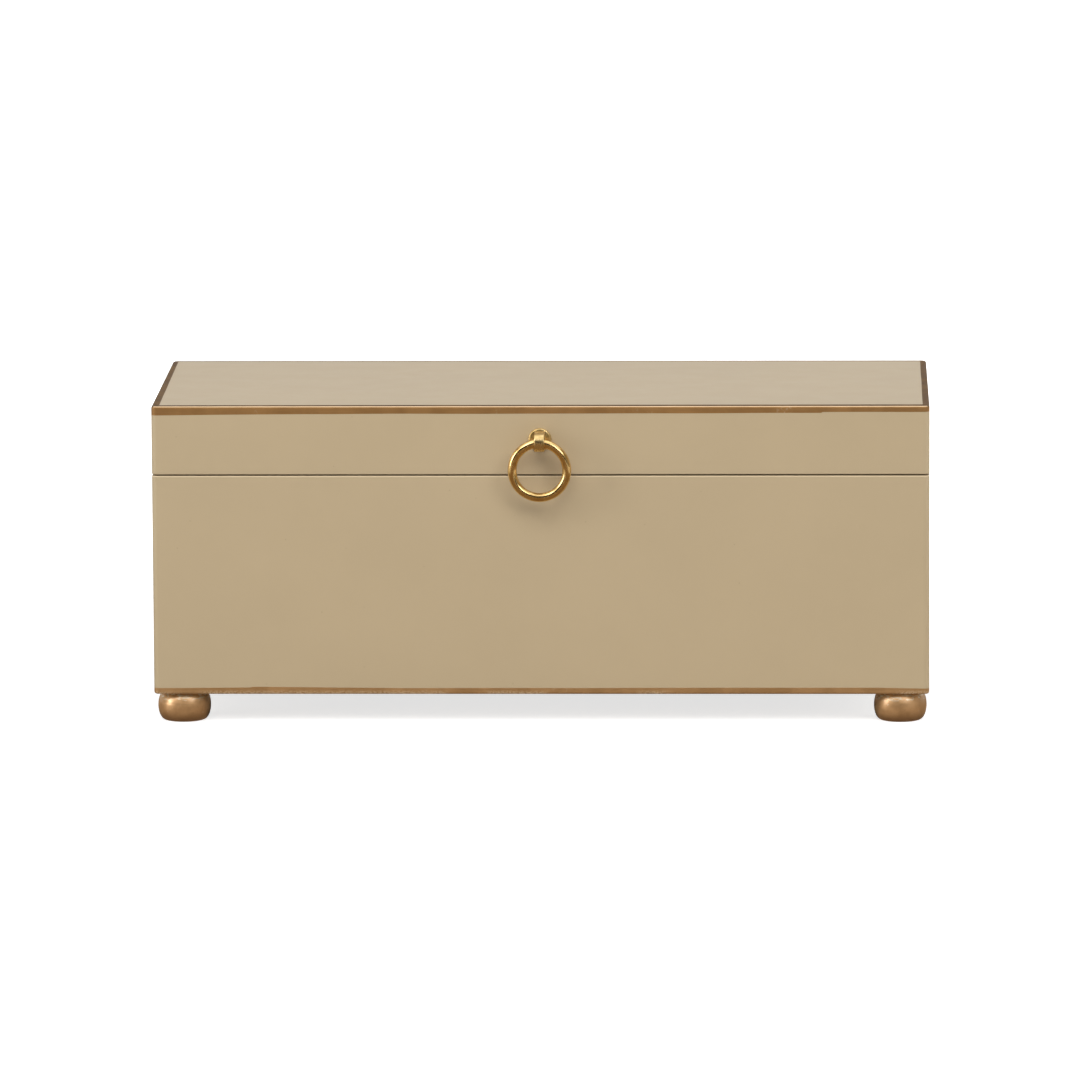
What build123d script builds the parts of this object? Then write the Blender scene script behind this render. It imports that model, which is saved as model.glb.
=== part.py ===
from build123d import *
import os
from math import radians, sin, sqrt, tan

# A low lacquered box with a hinged lid, a ring pull and four bun feet. Millimetres, +Z up, the
# front towards -Y. The origin lies on the surface that the feet stand on, at the middle of the
# whole object's width and depth.

# Case
case_width = 355.6
case_depth = 152.4
seam_height = 101.6
lid_rise = 31.75
seam_gap = 0.6
wall = 12.0
board = 9.0
corner_radius = 2.4
edge_radius = 1.0
rim_radius = 0.5

# Felt
lining_thickness = 1.0
lining_clearance = 0.3
bumper_radius = 4.0
bumper_clearance = 0.1
bumper_setback = 24.0

# Bun feet and their screws
foot_height = 13.7
foot_radius = 12.25
foot_flat_radius = 8.3
foot_inset = 13.2
foot_bore_radius = 4.0
foot_bore_depth = 6.0
foot_screw_radius = 1.75
foot_screw_head_radius = 3.4
foot_screw_head_height = 2.2
foot_screw_bite = 7.0
foot_screw_clearance = 0.1

# Hinges and their screws
lid_swing = 95.0
stop_gap = 0.3
hinge_inset = 55.0
hinge_length = 38.0
pin_inset = 2.4
pin_radius = 1.0
pin_clearance = 0.05
barrel_radius = 2.2
barrel_clearance = 0.3
knuckle_count = 5
knuckle_gap = 0.25
leaf_thickness = 1.2
leaf_margin = 1.4
leaf_corner_radius = 1.0
mortise_clearance = 0.15
hinge_screw_count = 3
hinge_screw_spacing = 13.0
hinge_screw_radius = 1.05
hinge_screw_head_radius = 1.9
hinge_screw_length = 9.0
hinge_screw_point = 2.2
hinge_screw_clearance = 0.05
hinge_slot_width = 0.5
hinge_slot_depth = 0.35

# Ring pull and its screw
pull_drop = 15.4
ring_standoff = 9.5
ring_radius = 12.45
ring_tube_radius = 2.05
ring_hang = 0.35
eye_clearance = 0.2
eye_wall = 1.4
eye_edge_radius = 0.3
tongue_width = 4.8
tongue_edge_radius = 0.5
rosette_radius = 5.35
rosette_edge = 1.2
rosette_edge_radius = 0.8
rosette_dome = 0.6
post_screw_radius = 1.5
post_screw_bite = 4.0
post_screw_head_radius = 2.8
post_screw_head_height = 2.0
post_thread_clearance = 0.05
post_hole_clearance = 0.2
washer_radius = 4.0
washer_thickness = 0.6

# Slots of the two kinds of round headed screw
pan_slot_width = 0.9
pan_slot_depth = 0.7

# Heights above the surface that the feet stand on
floor_top = foot_height + board
seam_middle = foot_height + seam_height
base_rim = seam_middle - seam_gap / 2
lid_rim = seam_middle + seam_gap / 2
lid_high = seam_middle + lid_rise
lid_ceiling = lid_high - board

# The eye of the ring post: the ring hangs low in it, and curves on its way through the tongue
ring_sag = ring_radius - sqrt(ring_radius**2 - (tongue_width / 2) ** 2)
eye_radius = ring_tube_radius + ring_sag + ring_hang + eye_clearance
nose_radius = eye_radius + eye_wall
pull_reach = ring_standoff + nose_radius

# Depths, with the whole object centred on the origin
case_front = (pull_reach - case_depth) / 2
case_back = case_front + case_depth
case_middle = (case_front + case_back) / 2
inner_front = case_front + wall
inner_width = case_width - 2 * wall
inner_depth = case_depth - 2 * wall

# Ring pull: the eye's middle, and the height that the ring turns about
post_height = lid_high - pull_drop
eye_front = case_front - ring_standoff
ring_pivot = post_height - ring_hang

# Hinges: the pin's line, the leaves' reach in front of it and the line of screws
pin_back = case_back - pin_inset
leaf_reach = wall - pin_inset - leaf_margin
notch_radius = barrel_radius + knuckle_gap
knuckle_length = (hinge_length - (knuckle_count - 1) * knuckle_gap) / knuckle_count
hinge_screw_back = pin_back - (leaf_reach + notch_radius) / 2
hinge_middles = {"left": hinge_inset - case_width / 2, "right": case_width / 2 - hinge_inset}

# The base lies below the seam and the lid above it
below, above = -1, 1

upright = (Align.CENTER, Align.CENTER, Align.MIN)
hanging = (Align.CENTER, Align.CENTER, Align.MAX)
crosswise = (0, 90, 0)

os.makedirs("parts", exist_ok=True)


def save(piece, label):
    """Name a finished piece and write it."""
    piece.label = label
    export_step(piece, f"parts/{label}.step")


def level(height):
    """The horizontal plane at a height, centred on the case."""
    return Plane((0, case_middle, height))


def rim_height(side_of_seam):
    """The height of the base's rim or of the lid's rim."""
    return base_rim if side_of_seam == below else lid_rim


def mitre_outline(side):
    """The plan of one wall, between its outer face and its two mitres."""
    out_x, out_y = case_width / 2, case_depth / 2
    in_x, in_y = inner_width / 2, inner_depth / 2
    outlines = {
        "front": [(-out_x, -out_y), (out_x, -out_y), (in_x, -in_y), (-in_x, -in_y)],
        "back": [(out_x, out_y), (-out_x, out_y), (-in_x, in_y), (in_x, in_y)],
        "left": [(-out_x, out_y), (-out_x, -out_y), (-in_x, -in_y), (-in_x, in_y)],
        "right": [(out_x, -out_y), (out_x, out_y), (in_x, in_y), (in_x, -in_y)],
    }
    return outlines[side]


def is_outer(edge):
    """True of an edge on the outside of the case, its rounded corners included."""
    middle = edge @ 0.5
    beside = case_width / 2 - abs(middle.X) < corner_radius / 2
    before = case_depth / 2 - abs(middle.Y - case_middle) < corner_radius / 2
    return beside or before


def back_bevel(side_of_seam):
    """The wedge, drawn from the side, that the back edges of one box lose so that the lid can swing.

    The bevels of base and lid face each other, a stop gap apart, when the lid is fully open.
    """
    angle = radians(lid_swing / 2)
    start = -stop_gap / 2 / sin(angle)
    end = 2 * pin_inset
    rise = (end - start) * tan(angle)
    with BuildSketch(Plane.YZ) as wedge:
        with Locations((pin_back, seam_middle)):
            Polygon((start, 0), (end, 0), (end, side_of_seam * rise))
    return wedge.sketch


def wall_panel(side, low, high, side_of_seam):
    """One mitred wall, its rim rounded outside and its back edge bevelled."""
    with BuildPart() as panel:
        with BuildSketch(level(low)):
            RectangleRounded(case_width, case_depth, corner_radius)
            Rectangle(inner_width, inner_depth, mode=Mode.SUBTRACT)
            Polygon(*mitre_outline(side), mode=Mode.INTERSECT)
        extrude(amount=high - low)
        rim_face = panel.faces().sort_by(Axis.Z)[-1 if side_of_seam == below else 0]
        fillet(rim_face.edges().filter_by(is_outer), rim_radius)
        if side != "front":
            extrude(back_bevel(side_of_seam), amount=case_width, both=True, mode=Mode.SUBTRACT)
    return panel.part


def hinge_screw_places(middle, side_of_seam):
    """Where the heads of one leaf's screws lie, each place turned to point into its wall."""
    turn = (0, 0, 0) if side_of_seam == below else (180, 0, 0)
    first = middle - hinge_screw_spacing * (hinge_screw_count - 1) / 2
    return [
        Location((first + n * hinge_screw_spacing, hinge_screw_back, rim_height(side_of_seam)), turn)
        for n in range(hinge_screw_count)
    ]


def hinge_recesses(side_of_seam):
    """The barrel pockets, leaf mortises and pilot holes of both hinges, to be cut from a back wall."""
    mortise_depth = leaf_reach + mortise_clearance
    rim = rim_height(side_of_seam)
    with BuildPart() as recesses:
        for middle in hinge_middles.values():
            with Locations((middle, pin_back, seam_middle)):
                pocket_length = hinge_length + 2 * barrel_clearance
                Cylinder(barrel_radius + barrel_clearance, pocket_length, rotation=crosswise)
            with BuildSketch(Plane((middle, pin_back, rim))):
                mortise_length = hinge_length + 2 * mortise_clearance
                Rectangle(mortise_length, mortise_depth, align=(Align.CENTER, Align.MAX))
            extrude(amount=side_of_seam * leaf_thickness)
            with Locations(*hinge_screw_places(middle, side_of_seam)):
                hole_radius = hinge_screw_radius + hinge_screw_clearance
                Cylinder(hole_radius, hinge_screw_length + hinge_screw_clearance, align=hanging)
    return recesses.part


def hinge_leaf(middle, side_of_seam):
    """One leaf: the base's has the outer and middle knuckles, the lid's has the two between."""
    first = middle - (hinge_length - knuckle_length) / 2
    pitch = knuckle_length + knuckle_gap
    knuckles = [(first + n * pitch, pin_back, seam_middle) for n in range(knuckle_count)]
    base_knuckles, lid_knuckles = knuckles[0::2], knuckles[1::2]
    own, other = (base_knuckles, lid_knuckles) if side_of_seam == below else (lid_knuckles, base_knuckles)
    seat_radius = hinge_screw_head_radius + hinge_screw_clearance
    with BuildPart() as leaf:
        with BuildSketch(Plane((middle, pin_back, rim_height(side_of_seam)))):
            Rectangle(hinge_length, leaf_reach, align=(Align.CENTER, Align.MAX))
        extrude(amount=side_of_seam * leaf_thickness)
        fillet(leaf.edges().filter_by(Axis.Z).group_by(Axis.Y)[0], leaf_corner_radius)
        with Locations(*other):
            notch_length = knuckle_length + 2 * knuckle_gap
            Cylinder(notch_radius, notch_length, rotation=crosswise, mode=Mode.SUBTRACT)
        with Locations(*own):
            Cylinder(barrel_radius, knuckle_length, rotation=crosswise)
        with Locations((middle, pin_back, seam_middle)):
            Cylinder(pin_radius + pin_clearance, hinge_length, rotation=crosswise, mode=Mode.SUBTRACT)
        with Locations(*hinge_screw_places(middle, side_of_seam)):
            hole_radius = hinge_screw_radius + hinge_screw_clearance
            Cylinder(hole_radius, leaf_thickness, align=hanging, mode=Mode.SUBTRACT)
            seat_depth = seat_radius - hole_radius
            Cone(hole_radius, seat_radius, seat_depth, align=hanging, mode=Mode.SUBTRACT)
    return leaf.part


def pan_screw(radius, length, head_radius, head_height):
    """A screw pointing down from the origin, with its slotted round head above it."""
    with BuildPart() as screw:
        Cylinder(radius, length, align=hanging)
        chamfer(screw.edges().sort_by(Axis.Z)[0], radius / 3)
        Cylinder(head_radius, head_height, align=upright)
        fillet(screw.edges().sort_by(Axis.Z)[-1], head_height / 2)
        with Locations((0, 0, head_height)):
            Box(2 * head_radius, pan_slot_width, 2 * pan_slot_depth, mode=Mode.SUBTRACT)
    return screw.part


# Bottom board, with pilot holes for the foot screws
with BuildPart() as base_bottom:
    with BuildSketch(level(foot_height)):
        RectangleRounded(case_width, case_depth, corner_radius)
    extrude(amount=board)
    fillet(base_bottom.faces().sort_by(Axis.Z)[0].edges(), edge_radius)
    with BuildSketch(level(foot_height)):
        with GridLocations(case_width - 2 * foot_inset, case_depth - 2 * foot_inset, 2, 2):
            Circle(foot_screw_radius + foot_screw_clearance)
    extrude(amount=foot_screw_bite + foot_screw_clearance, mode=Mode.SUBTRACT)
save(base_bottom.part, "base_bottom")

# Walls of the base
for side_name in ("front", "left", "right"):
    save(wall_panel(side_name, floor_top, base_rim, below), f"base_{side_name}")

with BuildPart() as base_back:
    add(wall_panel("back", floor_top, base_rim, below))
    add(hinge_recesses(below), mode=Mode.SUBTRACT)
save(base_back.part, "base_back")

# Felt on the floor, and two felt dots on the side rims that the lid comes down on
with BuildPart() as floor_lining:
    with BuildSketch(level(floor_top)):
        Rectangle(inner_width - 2 * lining_clearance, inner_depth - 2 * lining_clearance)
    extrude(amount=lining_thickness)
save(floor_lining.part, "floor_lining")

with BuildPart() as rim_bumpers:
    with BuildSketch(Plane((0, case_front + bumper_setback, base_rim))):
        with GridLocations(case_width - wall, 0, 2, 1):
            Circle(bumper_radius)
    extrude(amount=seam_gap - bumper_clearance)
save(rim_bumpers.part, "rim_bumpers")

# Bun feet, each bored from below for the screw that holds it
with BuildPart() as foot:
    with BuildSketch(Plane.XZ):
        with BuildLine():
            Polyline(
                (foot_flat_radius, 0),
                (0, 0),
                (0, foot_height),
                (foot_flat_radius, foot_height),
            )
            EllipticalCenterArc(
                (foot_flat_radius, foot_height / 2),
                foot_radius - foot_flat_radius,
                foot_height / 2,
                start_angle=-90,
                arc_size=180,
            )
        make_face()
    revolve(axis=Axis.Z)
    Cylinder(foot_bore_radius, foot_bore_depth, align=upright, mode=Mode.SUBTRACT)
    Cylinder(foot_screw_radius + foot_screw_clearance, foot_height, align=upright, mode=Mode.SUBTRACT)

foot_places = {}
for depth_name, depth_sign in (("front", -1), ("back", 1)):
    for width_name, width_sign in (("left", -1), ("right", 1)):
        foot_x = width_sign * (case_width / 2 - foot_inset)
        foot_y = case_middle + depth_sign * (case_depth / 2 - foot_inset)
        foot_places[f"{depth_name}_{width_name}"] = (foot_x, foot_y)

for place_name, (foot_x, foot_y) in foot_places.items():
    with BuildPart(Plane((foot_x, foot_y, 0))) as placed_foot:
        add(foot.part)
    save(placed_foot.part, f"foot_{place_name}")

foot_screw = pan_screw(
    foot_screw_radius,
    foot_height - foot_bore_depth + foot_screw_bite,
    foot_screw_head_radius,
    foot_screw_head_height,
)
with BuildPart() as foot_screws:
    with Locations(*[Location((x, y, foot_bore_depth), (180, 0, 0)) for x, y in foot_places.values()]):
        add(foot_screw)
save(foot_screws.part, "foot_screws")

# Top board of the lid
with BuildPart() as lid_top:
    with BuildSketch(level(lid_ceiling)):
        RectangleRounded(case_width, case_depth, corner_radius)
    extrude(amount=board)
    fillet(lid_top.faces().sort_by(Axis.Z)[-1].edges(), edge_radius)
save(lid_top.part, "lid_top")

# Walls of the lid, the front one bored for the screw of the ring post
for side_name in ("left", "right"):
    save(wall_panel(side_name, lid_rim, lid_ceiling, above), f"lid_{side_name}")

post_face = Plane((0, case_front, post_height), x_dir=(1, 0, 0), z_dir=(0, -1, 0))
with BuildPart() as lid_front:
    add(wall_panel("front", lid_rim, lid_ceiling, above))
    with BuildSketch(post_face):
        Circle(post_screw_radius + post_hole_clearance)
    extrude(amount=-wall, mode=Mode.SUBTRACT)
save(lid_front.part, "lid_front")

with BuildPart() as lid_back:
    add(wall_panel("back", lid_rim, lid_ceiling, above))
    add(hinge_recesses(above), mode=Mode.SUBTRACT)
save(lid_back.part, "lid_back")

# Two butt hinges, each of two leaves and a pin
for hand, hinge_middle in hinge_middles.items():
    save(hinge_leaf(hinge_middle, below), f"{hand}_hinge_base_leaf")
    save(hinge_leaf(hinge_middle, above), f"{hand}_hinge_lid_leaf")
    with BuildPart() as hinge_pin:
        with Locations((hinge_middle, pin_back, seam_middle)):
            Cylinder(pin_radius, hinge_length, rotation=crosswise)
        chamfer(hinge_pin.edges().filter_by(GeomType.CIRCLE), pin_radius / 4)
    save(hinge_pin.part, f"{hand}_hinge_pin")

# Countersunk hinge screws with slotted heads
with BuildPart() as hinge_screw:
    with BuildSketch(Plane.XZ):
        Polygon(
            (0, 0),
            (hinge_screw_head_radius, 0),
            (hinge_screw_radius, hinge_screw_radius - hinge_screw_head_radius),
            (hinge_screw_radius, hinge_screw_point - hinge_screw_length),
            (0, -hinge_screw_length),
        )
    revolve(axis=Axis.Z)
    Box(2 * hinge_screw_head_radius, hinge_slot_width, 2 * hinge_slot_depth, mode=Mode.SUBTRACT)

for box_name, side_of_box in (("base", below), ("lid", above)):
    screw_places = []
    for hinge_middle in hinge_middles.values():
        screw_places += hinge_screw_places(hinge_middle, side_of_box)
    with BuildPart() as hinge_screws:
        with Locations(*screw_places):
            add(hinge_screw.part)
    save(hinge_screws.part, f"{box_name}_hinge_screws")

# Ring post: a tongue with an eye across it, standing out of a slightly domed rosette
post_side = Plane((0, case_front, post_height), x_dir=(0, -1, 0), z_dir=(-1, 0, 0))
dome_radius = (rosette_radius**2 + rosette_dome**2) / (2 * rosette_dome)
dome_crown = rosette_edge + rosette_dome
with BuildPart() as ring_post:
    with BuildSketch(post_side):
        with Locations((ring_standoff, 0)):
            Circle(nose_radius)
            Rectangle(ring_standoff - rosette_edge / 2, 2 * nose_radius, align=(Align.MAX, Align.CENTER))
    extrude(amount=tongue_width / 2, both=True)
    tongue_sides = ring_post.faces().filter_by(Axis.X)
    fillet(tongue_sides.edges().filter_by(Axis.Z, reverse=True), tongue_edge_radius)
    with BuildSketch(post_side) as half_rosette:
        with Locations((dome_crown - dome_radius, 0)):
            Circle(dome_radius)
        Rectangle(dome_crown, rosette_radius, align=Align.MIN, mode=Mode.INTERSECT)
        fillet(half_rosette.vertices().group_by(Axis.Y)[-1].sort_by(Axis.X)[-1], rosette_edge_radius)
    revolve(axis=Axis((0, case_front, post_height), (0, -1, 0)))
    with BuildSketch(post_side):
        with Locations((ring_standoff, 0)):
            Circle(eye_radius)
    extrude(amount=tongue_width, both=True, mode=Mode.SUBTRACT)
    fillet(ring_post.edges(Select.LAST).filter_by(GeomType.CIRCLE), eye_edge_radius)
    with BuildSketch(post_face):
        Circle(post_screw_radius + post_thread_clearance)
    extrude(amount=post_screw_bite + post_hole_clearance, mode=Mode.SUBTRACT)
save(ring_post.part, "ring_post")

# Screw and washer that hold the ring post from inside the lid
inner_face = Plane((0, inner_front, post_height), x_dir=(1, 0, 0), z_dir=(0, 1, 0))
with BuildPart() as post_washer:
    with BuildSketch(inner_face):
        Circle(washer_radius)
        Circle(post_screw_radius + post_hole_clearance, mode=Mode.SUBTRACT)
    extrude(amount=washer_thickness)
save(post_washer.part, "post_washer")

with BuildPart(inner_face.offset(washer_thickness)) as post_screw:
    add(
        pan_screw(
            post_screw_radius,
            washer_thickness + wall + post_screw_bite,
            post_screw_head_radius,
            post_screw_head_height,
        )
    )
save(post_screw.part, "post_screw")

# The ring, hanging in the eye
with BuildPart(Plane((0, eye_front, ring_pivot - ring_radius), z_dir=(0, -1, 0))) as pull_ring:
    Torus(ring_radius, ring_tube_radius)
save(pull_ring.part, "pull_ring")
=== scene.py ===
"""Looks of a lacquered box with a hinged lid, a ring pull and four bun feet.

Lengths are in metres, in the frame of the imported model: +Z is up and the front faces -Y.
"""

import logging
from dataclasses import dataclass, field, replace
from enum import Enum
from math import cos, pi, radians, sin, tau

import bmesh
import bpy
from mathutils import Euler, Matrix, Vector, noise


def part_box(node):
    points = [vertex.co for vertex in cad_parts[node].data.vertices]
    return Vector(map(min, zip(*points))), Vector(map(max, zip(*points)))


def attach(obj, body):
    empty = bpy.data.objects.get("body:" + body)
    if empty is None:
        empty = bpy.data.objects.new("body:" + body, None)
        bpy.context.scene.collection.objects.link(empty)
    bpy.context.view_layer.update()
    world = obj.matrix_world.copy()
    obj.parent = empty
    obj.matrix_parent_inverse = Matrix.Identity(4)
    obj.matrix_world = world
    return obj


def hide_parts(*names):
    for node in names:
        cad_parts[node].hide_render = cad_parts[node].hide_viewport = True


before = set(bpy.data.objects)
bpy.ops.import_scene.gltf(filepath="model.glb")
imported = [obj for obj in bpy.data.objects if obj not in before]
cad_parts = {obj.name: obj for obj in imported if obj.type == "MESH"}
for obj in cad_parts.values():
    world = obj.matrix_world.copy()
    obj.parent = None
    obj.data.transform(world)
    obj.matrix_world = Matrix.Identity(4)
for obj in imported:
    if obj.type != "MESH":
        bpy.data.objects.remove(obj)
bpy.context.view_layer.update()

log = logging.getLogger("box")

Triple = tuple[float, float, float]
Colour = Triple
Range = tuple[float, float]
Socket = bpy.types.NodeSocket
Material = bpy.types.Material
Mesh = bmesh.types.BMesh
Edges = list[bmesh.types.BMEdge]
# What a node's socket can be linked or set to
Value = Socket | float | Triple
# A noise texture's scale, detail and roughness, as Shader.noise takes them
Pattern = tuple[float | Triple, float, float]

# Edges that turn by more than this stay sharp when a piece is shaded
SHARP_TURN = radians(35)
# Two points closer than this are one point
TINY = 1e-6
# The directions of X, Y and Z
AXES = (Vector((1, 0, 0)), Vector((0, 1, 0)), Vector((0, 0, 1)))
# A noise texture's values lie round 0.5: nearly all in the wide range, and most in the narrow one
WIDE: Range = (0.3, 0.7)
NARROW: Range = (0.35, 0.65)


class Body(Enum):
    """The bodies that the joints move."""

    BASE = "base"
    LID = "lid"
    RING = "ring"


class Slot(Enum):
    """The names of the record's material slots."""

    LACQUER = "lacquer"
    GILT = "gilt"
    FELT = "felt"
    POLISHED_BRASS = "polished_brass"


class Coat(Enum):
    """What covers a face of a banded board, in the order of the board's materials."""

    LACQUER = 0
    GOLD = 1
    # The band paint darkened where it faces up: painted shade
    WORN = 2
    # A paler paint along the lid's front edge: a painted highlight
    RUBBED = 3


class Side(Enum):
    """The four sides of the case, each with the direction that it faces."""

    FRONT = (0, -1)
    BACK = (0, 1)
    LEFT = (-1, 0)
    RIGHT = (1, 0)

    @property
    def along(self) -> int:
        """The axis that the side runs along."""
        return 0 if self.value[0] == 0 else 1

    @property
    def across(self) -> int:
        """The axis that the side faces along."""
        return 1 - self.along

    @property
    def sign(self) -> int:
        """1 where the side faces up its axis, and -1 where it faces down."""
        return sum(self.value)


def shaded(colour: Colour, share: float) -> Colour:
    """Return a colour with each channel times a share, and no channel above 1."""
    return tuple(min(1.0, channel * share) for channel in colour)


class Nodes:
    """A node tree being put together."""

    def __init__(self, tree: bpy.types.NodeTree) -> None:
        """Start on the tree that gets the nodes."""
        self.tree = tree

    def fill(self, socket: Socket, value: Value) -> None:
        """Link a socket to another one, or set it.

        Args:
            socket: The socket to fill.
            value: The other socket, or a number, a vector or a colour of three channels.
        """
        if isinstance(value, bpy.types.NodeSocket):
            self.tree.links.new(value, socket)
        else:
            socket.default_value = (*value, 1.0) if socket.type == "RGBA" else value

    def node(
        self, kind: str, inputs: dict[str | int, Value], **settings: str
    ) -> bpy.types.NodeOutputs:
        """Add a node.

        Args:
            kind: The node's type name.
            inputs: What its sockets are linked or set to, by name or number.
            **settings: Properties of the node, by name.

        Returns:
            The node's outputs.
        """
        made = self.tree.nodes.new(kind)
        for key, setting in settings.items():
            setattr(made, key, setting)
        for key, value in inputs.items():
            self.fill(made.inputs[key], value)
        return made.outputs

    def spread(self, value: Socket, over: Range, to: Range = (0.0, 1.0)) -> Socket:
        """Map a value smoothly from one range to another, held at both ends.

        Args:
            value: The value to map.
            over: Where the mapping starts and ends, in either order.
            to: What it gives at the start and at the end.

        Returns:
            The mapped value.
        """
        (low, to_low), (high, to_high) = sorted(zip(over, to))
        limits = {"From Min": low, "From Max": high, "To Min": to_low, "To Max": to_high}
        return self.node(
            "ShaderNodeMapRange", {"Value": value, **limits}, interpolation_type="SMOOTHSTEP"
        )["Result"]

    def joined(self, operation: str, first: Socket, second: Socket) -> Socket:
        """Return what a math operation makes of two values."""
        return self.node("ShaderNodeMath", {0: first, 1: second}, operation=operation)["Value"]

    def seen_directly(self) -> Socket:
        """Tell what is seen from what only gives light.

        Returns:
            1 on rays from the camera, in a reflection or through glass, and 0 on others.
        """
        rays = self.node("ShaderNodeLightPath", {})
        seen = self.joined("MAXIMUM", rays["Is Camera Ray"], rays["Is Glossy Ray"])
        return self.joined("MAXIMUM", seen, rays["Is Transmission Ray"])


class Shader(Nodes):
    """A node material being put together: one Principled shader and what feeds it."""

    def __init__(self, name: str) -> None:
        """Start a material.

        Args:
            name: The material's name.
        """
        self.material = bpy.data.materials.new(name)
        self.material.use_nodes = True
        super().__init__(self.material.node_tree)
        self.place = self.node("ShaderNodeTexCoord", {})["Object"]

    def set(self, **values: Value) -> None:
        """Fill the shader's own sockets.

        Args:
            **values: What they get, by their names with an underscore for each space.
        """
        inputs = self.tree.nodes["Principled BSDF"].inputs
        sockets = {socket.name.replace(" ", "_").lower(): socket for socket in inputs}
        for key, value in values.items():
            self.fill(sockets[key], value)

    def height(self) -> Socket:
        """Return the height above the floor, with the box closed."""
        return self.node("ShaderNodeSeparateXYZ", {0: self.place})["Z"]

    def noise(
        self, scale: float | Triple, detail: float, rough: float, turn: float = 0.0
    ) -> Socket:
        """Add a noise texture.

        Args:
            scale: Its cycles to the metre, or those along each axis.
            detail: How many finer layers it has.
            rough: How strong the finer layers are.
            turn: How far it is turned about Z, where it has a scale for each axis.

        Returns:
            The texture's value, from 0 to 1 with its middle near 0.5.
        """
        place = self.place
        if isinstance(scale, tuple):
            size = tuple(1 / factor for factor in scale)
            placed = {"Vector": place, "Rotation": (0, 0, turn), "Scale": size}
            place = self.node("ShaderNodeMapping", placed, vector_type="TEXTURE")["Vector"]
            scale = 1.0
        layers = {"Vector": place, "Scale": scale, "Detail": detail, "Roughness": rough}
        return self.node("ShaderNodeTexNoise", layers)["Fac"]

    def spots(self, scale: float, radius: float) -> Socket:
        """Return 1 in round spots, one to a cell and this share of it in radius, and else 0."""
        cells = self.node("ShaderNodeTexVoronoi", {"Vector": self.place, "Scale": scale})
        return self.spread(cells["Distance"], (radius, radius * 0.6))

    def times(self, first: Socket, second: Socket) -> Socket:
        """Return the product of two values."""
        return self.joined("MULTIPLY", first, second)

    def mixed(self, share: Socket, first: Value, second: Value) -> Socket:
        """Blend two colours, with a share from 0 for the first to 1 for the second."""
        return self.node("ShaderNodeMix", {0: share, 6: first, 7: second}, data_type="RGBA")[2]

    def bump(
        self, height: Socket, depth: float, strength: float, under: Socket | None = None
    ) -> Socket:
        """Turn a height into a bent normal.

        Args:
            height: The height, from 0 to 1.
            depth: How deep a height of 1 is.
            strength: How much of the bend is used.
            under: The normal of another bump that this one adds to.

        Returns:
            The bent normal.
        """
        inputs = {"Height": height, "Distance": depth, "Strength": strength}
        if under is not None:
            inputs["Normal"] = under
        return self.node("ShaderNodeBump", inputs)["Normal"]


@dataclass(frozen=True)
class Lacquer:
    """Sand coloured lacquer over fibreboard, sprayed, rubbed down and polished.

    Attributes:
        rim: The height of the base's upper edge, whose rounded edge gets a painted highlight.
        rim_highlight_reach: How far down from the rim the painted highlight goes.
        rim_blend: Over what height that starts and ends.
        rubbed: The paler colour painted there as a highlight.
        colour: The lacquer's colour.
        clouding: How far its colour drifts over a hand's width.
        cloud_scale: Clouds to the metre.
        peel_scale: Ripples to the metre of the slightly uneven gloss.
        peel_depth: The depth of those ripples.
        speck_scale: Cells to the metre, each with one fine dust speck somewhere in it.
        speck_size: The radius of a speck as a share of its cell.
        speck_shade: How bright a speck is beside the lacquer.
    """

    rim: float
    rim_highlight_reach: float = 0.0006
    rim_blend: float = 0.0001
    rubbed: Colour = (0.65, 0.52, 0.335)
    colour: Colour = (0.503, 0.392, 0.242)
    clouding: float = 0.015
    cloud_scale: float = 16.0
    peel_scale: float = 420.0
    peel_depth: float = 0.00002
    speck_scale: float = 110.0
    speck_size: float = 0.05
    speck_shade: float = 0.9

    def make(self) -> Material:
        """Make the material.

        Returns:
            The material of the case.
        """
        shader = Shader("sand_lacquer")
        clouds = shader.spread(shader.noise(self.cloud_scale, 4, 0.55), WIDE)
        darker, lighter = (shaded(self.colour, 1 + self.clouding * way) for way in (-1, 1))
        colour = shader.mixed(clouds, darker, lighter)
        specks = shader.spots(self.speck_scale, self.speck_size)
        colour = shader.mixed(specks, colour, shaded(self.colour, self.speck_shade))
        height = shader.height()
        # The base's rounded upper edge is painted paler: a painted highlight
        rim_low = self.rim - self.rim_highlight_reach
        rim_highlight_share = shader.times(
            shader.spread(height, (rim_low, rim_low + self.rim_blend)),
            shader.spread(height, (self.rim, self.rim - self.rim_blend)),
        )
        colour = shader.mixed(rim_highlight_share, colour, self.rubbed)
        gloss = shader.noise(60, 3, 0.6)
        peel = shader.bump(shader.noise(self.peel_scale, 2, 0.4), self.peel_depth, 0.5)
        shader.set(
            base_color=colour,
            roughness=shader.spread(gloss, (0.25, 0.75), (0.37, 0.41)),
            specular_ior_level=0.3,
            coat_weight=0.6,
            coat_roughness=0.13,
            normal=peel,
            coat_normal=peel,
        )
        return shader.material


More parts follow.
